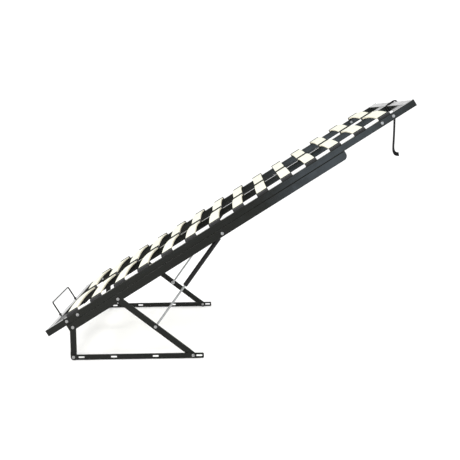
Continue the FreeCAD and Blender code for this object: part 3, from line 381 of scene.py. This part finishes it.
def slat_shell(station, side):
    """One bowed slat on one side of the centre beam."""
    section = rounded_section(SLAT_WIDTH, SLAT_THICKNESS, SLAT_EDGE)
    sections = []
    for step in range(SLAT_STEPS + 1):
        out = SLAT_NEAR + (SLAT_FAR - SLAT_NEAR) * step / SLAT_STEPS
        height = SLAT_LOW + slat_rise(out)
        sections.append([on_frame(station + x, side * out, height + y) for x, y in section])
    return loft(sections)


def make_slats():
    for row in range(SLAT_COUNT):
        name = f"slat_row_{row + 1:02d}"
        shells = [slat_shell(slat_station(row), side) for side in (-1, 1)]
        piece("wood_" + name, merged(name, shells), "slat_wood", "lift_frame", [name], 50.0)


# ---------------------------------------------------------------- rubber slat holders

HOLDER_LENGTH = 0.059
HOLDER_ROOF = 0.0015
RIB_COUNT = 7
RIB_DEPTH = 0.0012
POCKET_WIDTH = SLAT_WIDTH + 0.0006
POCKET_GAP = 0.0003
LIP_LENGTH = 0.0025
LIP_HEIGHT = 0.0020
ROOF_STEPS = 8
RAIL_HOLDER_BACK = 0.697
RAIL_HOLDER_MOUTH = 0.667
BEAM_HOLDER_MOUTH = 0.030
HOLDER_CORNER = 0.0022
HOLDER_STEPS = 84
WALL_NUDGE = 0.001


def roof_line(inner, outer):
    """Points of a curve that follows the slat, from one distance out to another."""
    return [inner + (outer - inner) * step / ROOF_STEPS for step in range(ROOF_STEPS + 1)]


def pocket_half(back, slat_end, mouth, depth, drop):
    """From the top of a holder's closed back round its mouth and pocket to its foot: pairs of a distance
    out and a height above the tube. depth 0 leaves the pocket out, and drop lowers a groove."""
    top = SLAT_LOW - TUBE_TOP + SLAT_THICKNESS + HOLDER_ROOF
    crest = mouth + math.copysign(LIP_LENGTH, back - mouth)
    points = [(out, top + slat_rise(out) - drop) for out in roof_line(back, crest)]
    points += [(out, top + slat_rise(out) + LIP_HEIGHT) for out in (crest, mouth)]
    end = mouth + (slat_end - mouth) * depth
    lift = SLAT_LOW - TUBE_TOP
    upper = [(out, lift + slat_rise(out) + SLAT_THICKNESS + POCKET_GAP) for out in roof_line(mouth, end)]
    lower = [(out, lift + slat_rise(out) - POCKET_GAP) for out in roof_line(end, mouth)]
    return points + upper + lower + [(mouth, 0.0)]


def rib_drop(along):
    """The depth of the groove between two ribs at a place along the holder, from -0.5 to 0.5."""
    wave = 0.5 + 0.5 * math.cos(2 * math.pi * RIB_COUNT * along)
    return RIB_DEPTH * min(1.0, max(0.0, 1.6 * (1 - wave) - 0.5))


def holder_stations():
    """Places along a holder: its rounded ends, its ribs, and the two walls beside the pocket."""
    places = [step / HOLDER_STEPS - 0.5 for step in range(HOLDER_STEPS + 1)]
    wall = POCKET_WIDTH / 2 / HOLDER_LENGTH
    return sorted(places + [sign * (wall + nudge) for sign in (-1, 1) for nudge in (-WALL_NUDGE, WALL_NUDGE)])


def end_rounding(along):
    """How far a holder's outline draws in near its two ends, for rounded corners."""
    left = (0.5 - abs(along)) * HOLDER_LENGTH
    if left >= HOLDER_CORNER:
        return 0.0
    return HOLDER_CORNER - math.sqrt(max(0.0, HOLDER_CORNER ** 2 - (HOLDER_CORNER - left) ** 2))


def rail_holder(row, side):
    """A ribbed cap over the outer end of one slat."""
    back = RAIL_HOLDER_BACK
    sections = []
    for along in holder_stations():
        depth = 1.0 if abs(along) * HOLDER_LENGTH < POCKET_WIDTH / 2 else 0.0
        drop = rib_drop(along) + end_rounding(along)
        outline = pocket_half(back - 0.002, SLAT_FAR + POCKET_GAP, RAIL_HOLDER_MOUTH, depth,
                              drop)
        top = outline[0][1]
        edge = back - drop
        outline = [(edge, 0.0), (edge, top - 0.002), (edge - 0.0006, top - 0.0006)] + outline
        station = slat_station(row) + along * HOLDER_LENGTH
        sections.append([on_frame(station, side * out, TUBE_TOP + up) for out, up in outline])
    return loft(sections)


def beam_holder(row):
    """A ribbed double holder on the centre beam for the inner ends of two slats."""
    sections = []
    for along in holder_stations():
        depth = 1.0 if abs(along) * HOLDER_LENGTH < POCKET_WIDTH / 2 else 0.0
        drop = rib_drop(along) + end_rounding(along)
        half = pocket_half(SLAT_NEAR, SLAT_NEAR - POCKET_GAP, BEAM_HOLDER_MOUTH, depth, drop)
        whole = [(0.0, half[0][1])] + half + [(-out, up) for out, up in reversed(half)]
        station = slat_station(row) + along * HOLDER_LENGTH
        sections.append([on_frame(station, out, TUBE_TOP + up) for out, up in whole])
    return loft(sections)


def make_holders():
    rows = range(SLAT_COUNT)
    for word, side in (("right", -1), ("left", 1)):
        shells = [rail_holder(row, side) for row in rows]
        piece(f"ribbed_holders_{word}", merged("holders", shells), "holder_rubber", "lift_frame",
              [f"slat_holders_{word}"], 35.0)
    shells = [beam_holder(row) for row in rows]
    piece("ribbed_holders_centre", merged("holders", shells), "holder_rubber", "lift_frame",
          ["slat_holders_centre"], 35.0)


# ---------------------------------------------------------------- bolts

BOLT_RADIUS = 0.004
HEAD_RADIUS = 0.0075
HEAD_HEIGHT = 0.0045
HEAD_ROUND = 0.0022
SOCKET_HALF = 0.0025
SOCKET_DEPTH = 0.0024
RING_POINTS = 24
RAIL_OUT = 0.700
WASHER = 0.0008
FRAME_BOLT_STATIONS = (0.110, 0.170, 1.824, 1.884)
FRAME_BOLT_TIP = 0.649
TIP_CHAMFER = 0.0006
PIVOT_HEIGHT = -0.0386
# Stations of the three pivots on the angle profile, with the distance out of each bolt's tip.
PIVOT_BOLTS = ((0.118, 0.6834), (0.3677, 0.6970), (0.9397, 0.6666))
BASE_PIVOTS = (-0.712523, -0.156123)
BASE_PIVOT_HEIGHT = 0.0145
BASE_FACE, BASE_TIP = 0.705, 0.6874


def bolt_shell(place, side, face, tip, first, second):
    """A domed socket-head bolt. place is on the middle plane, and first and second span its rings."""
    top = face + HEAD_HEIGHT
    rings = [(tip, BOLT_RADIUS - TIP_CHAMFER, 0), (tip + TIP_CHAMFER, BOLT_RADIUS, 0),
             (face, BOLT_RADIUS, 0), (face, HEAD_RADIUS, 0)]
    for step in range(7):
        angle = math.radians(15 * step)
        rings.append((top - HEAD_ROUND * (1 - math.sin(angle)),
                      HEAD_RADIUS - HEAD_ROUND * (1 - math.cos(angle)), 0))
    rings += [(top, SOCKET_HALF + 0.0008, 0), (top - 0.0002, SOCKET_HALF, 1),
              (top - SOCKET_DEPTH, SOCKET_HALF, 1)]
    sections = []
    for out, radius, six_sided in rings:
        section = []
        for index in range(RING_POINTS):
            angle = 2 * math.pi * index / RING_POINTS
            off = angle % (math.pi / 3) - math.pi / 6
            reach = radius / math.cos(off) if six_sided else radius
            section.append(place + side * out * ACROSS + reach * math.cos(angle) * first
                           + reach * math.sin(angle) * second)
        sections.append(section)
    return loft(sections)


def make_bolts():
    """The frame bolts, the bolts of the lift rail's pivots and those of the base pivots."""
    level, upright = Vector((1.0, 0.0, 0.0)), Vector((0.0, 0.0, 1.0))
    frame_bolts, pivot_bolts, base_bolts = [], [], []
    for side in (-1, 1):
        for station in FRAME_BOLT_STATIONS:
            frame_bolts.append(bolt_shell(on_frame(station, 0.0, 0.0), side, RAIL_OUT + WASHER,
                                          FRAME_BOLT_TIP, ALONG, ABOVE))
        for station, tip in PIVOT_BOLTS:
            pivot_bolts.append(bolt_shell(on_frame(station, 0.0, PIVOT_HEIGHT), side, RAIL_OUT, tip,
                                          ALONG, ABOVE))
        for x in BASE_PIVOTS:
            base_bolts.append(bolt_shell(Vector((x, 0.0, BASE_PIVOT_HEIGHT)), side, BASE_FACE, BASE_TIP,
                                         level, upright))
    for node, shells, body in (("frame_bolts", frame_bolts, "lift_frame"),
                               ("frame_pivot_bolts", pivot_bolts, "lift_frame"),
                               ("base_pivot_bolts", base_bolts, "base")):
        piece("socket_" + node, merged(node, shells), "zinc", body, [node], 35.0)


# ---------------------------------------------------------------- pull strap

STRAP_OUT = -0.050
STRAP_WIDTH = 0.028
STRAP_THICKNESS = 0.0032
BAR_MIDDLE = on_frame(HEAD_BAR_STATION, 0.0, 0.0)
STRAP_ROUTE = [(0.0128, -0.0130), (0.0186, -0.0400), (0.0176, -0.0800), (0.0160, -0.1250),
               (0.0136, -0.1720), (0.0109, -0.2070), (0.0122, -0.2260), (0.0180, -0.2385),
               (0.0270, -0.2445), (0.0395, -0.2448)]
# Degrees that the strap leans off ACROSS, and the further twist over a share of its length.
STRAP_LEAN, STRAP_TWIST = 26, 14
TWIST_START, TWIST_SPAN = 0.55, 0.35


def route_points(route):
    """Points read from the smooth curve that has the route as its control points."""
    curve = bpy.data.curves.new("strap_route", "CURVE")
    curve.dimensions = "3D"
    curve.resolution_u = 12
    spline = curve.splines.new("NURBS")
    spline.points.add(len(route) - 1)
    for point, place in zip(spline.points, route):
        point.co = (*place, 1.0)
    spline.order_u = 3
    spline.use_endpoint_u = True
    holder = bpy.data.objects.new("strap_route", curve)
    line = bpy.data.meshes.new_from_object(holder)
    points = [vertex.co.copy() for vertex in line.vertices]
    bpy.data.objects.remove(holder)
    bpy.data.meshes.remove(line)
    return points


def ribbon(points, turns, width, thickness):
    """A flat band along points, and its weave coordinates. turns gives, for each point, how far its width
    leans off ACROSS."""
    outline = rounded_section(width, thickness, thickness * 0.45, 3)
    sections, marks, reach = [], [], 0.0
    for index, point in enumerate(points):
        before, after = points[max(index - 1, 0)], points[min(index + 1, len(points) - 1)]
        ahead = (after - before).normalized()
        flat = Matrix.Rotation(turns[index], 3, ahead) @ ACROSS
        out = ahead.cross(flat).normalized()
        reach += (point - before).length if index else 0.0
        sections.append([point + x * flat + (y - thickness / 2) * out for x, y in outline])
        marks += [(x, reach) for x, _ in outline]
    return *loft(sections), marks


def lay_weave(mesh, marks):
    """Weave coordinates in metres: across the band and along it."""
    layer = mesh.uv_layers.new(name="strap")
    for loop in mesh.loops:
        layer.data[loop.index].uv = marks[loop.vertex_index]


def smooth_step(share):
    share = min(1.0, max(0.0, share))
    return share * share * (3 - 2 * share)


def make_strap():
    """The hanging pull strap: a twisted band, which is also the model's one cord."""
    route = [(BAR_MIDDLE.x + x, STRAP_OUT, BAR_MIDDLE.z + z) for x, z in STRAP_ROUTE]
    points = route_points(route)
    last = len(points) - 1
    turns = [math.radians(STRAP_LEAN + STRAP_TWIST * smooth_step((i / last - TWIST_START) / TWIST_SPAN))
             for i in range(last + 1)]
    vertices, faces, marks = ribbon(points, turns, STRAP_WIDTH, STRAP_THICKNESS)
    mesh = merged("pull_strap", [(vertices, faces)])
    lay_weave(mesh, marks)
    strap = piece("webbing_pull_strap", mesh, "webbing", "lift_frame", ["pull_strap"])


LOOP_THICKNESS = 0.0026
TAIL_THICKNESS = 0.0068
LOOP_BEND = 0.0025
LOOP_OFF = 0.0018
BAR_HALF_WIDTH = 0.020
TAIL_ROUTE = [(-0.0160, 0.0105), (-0.0020, 0.0185), (0.0095, 0.0262), (0.0185, 0.0300), (0.0262, 0.0275),
              (0.0310, 0.0215)]


def loop_points():
    """The band's middle line round the head bar: an arc at each corner of the bar."""
    reach = LOOP_BEND + LOOP_OFF
    points = []
    for index, (x, y) in enumerate(((-1, -1), (-1, 1), (1, 1), (1, -1), (-1, -1))):
        for step in range(6 if index < 4 else 1):
            angle = math.radians(270 - 90 * index - 90 * step / 5)
            station = HEAD_BAR_STATION + x * (BAR_HALF_WIDTH - LOOP_BEND) + reach * math.cos(angle)
            height = y * (TUBE_TOP - LOOP_BEND) + reach * math.sin(angle)
            points.append(on_frame(station, STRAP_OUT, height))
    return points


def make_strap_loop():
    """The webbing wrapped round the head bar, with its free tail standing up in a curl."""
    wrap = loop_points()
    tail = route_points([(BAR_MIDDLE.x + x, STRAP_OUT, BAR_MIDDLE.z + z) for x, z in TAIL_ROUTE])
    shells, marks = [], []
    for points, thickness in ((wrap, LOOP_THICKNESS), (tail, TAIL_THICKNESS)):
        vertices, faces, own_marks = ribbon(points, [0.0] * len(points), STRAP_WIDTH, thickness)
        shells.append((vertices, faces))
        marks += own_marks
    mesh = merged("strap_loop", shells)
    lay_weave(mesh, marks)
    piece("webbing_strap_loop", mesh, "webbing", "lift_frame", ["strap_loop"])


# ---------------------------------------------------------------- stage

FLOOR_REACH = 60.0
WORLD_STRENGTH = 1.16
LAMP_TARGET = (0.0, 0.0, 0.5)
# Name, place, size, power and colour of each lamp.
LAMPS = (
    ("key", (-2.9, -2.2, 3.1), (2.8, 1.2), 92.0, (1.0, 0.99, 0.97)),
    ("fill", (1.05, -6.0, 0.75), (1.1, 1.4), 20.0, (0.74, 0.91, 1.08)),
)


def make_stage():
    """A plain white floor."""
    mesh = bpy.data.meshes.new("floor")
    reach = FLOOR_REACH
    mesh.from_pydata([(-reach, -reach, 0), (reach, -reach, 0), (reach, reach, 0), (-reach, reach, 0)], [],
                     [(0, 1, 2, 3)])
    floor = bpy.data.objects.new("floor", mesh)
    bpy.context.scene.collection.objects.link(floor)
    n = Nodes("floor")
    tone = n.noise(0.8, 2.0)
    mesh.materials.append(n.finish(Base_Color=n.mix(n.spread(tone, 0.3, 0.7, 0.0, 1.0), (0.975, 0.975, 0.975),
                                                    (0.985, 0.985, 0.985)), Roughness=0.9,
                                   Specular_IOR_Level=0.1))


def make_light():
    """A white studio with two soft rectangular lamps."""
    world = bpy.data.worlds.new("studio")
    bpy.context.scene.world = world
    world.use_nodes = True
    background = world.node_tree.nodes["Background"]
    background.inputs["Color"].default_value = (1.0, 1.0, 1.0, 1.0)
    background.inputs["Strength"].default_value = WORLD_STRENGTH
    for name, place, size, power, colour in LAMPS:
        data = bpy.data.lights.new(name, "AREA")
        data.shape = "RECTANGLE"
        data.size, data.size_y = size
        data.energy = power
        data.color = colour
        lamp = bpy.data.objects.new(name, data)
        bpy.context.scene.collection.objects.link(lamp)
        lamp.location = place
        aim = Vector(LAMP_TARGET) - Vector(place)
        lamp.rotation_euler = aim.to_track_quat("-Z", "Y").to_euler()
    bpy.context.scene.view_settings.view_transform = "Standard"


make_camera()
make_strap()
make_strap_loop()
finish_cad_nodes()
make_slats()
make_holders()
make_bolts()
make_stage()
make_light()
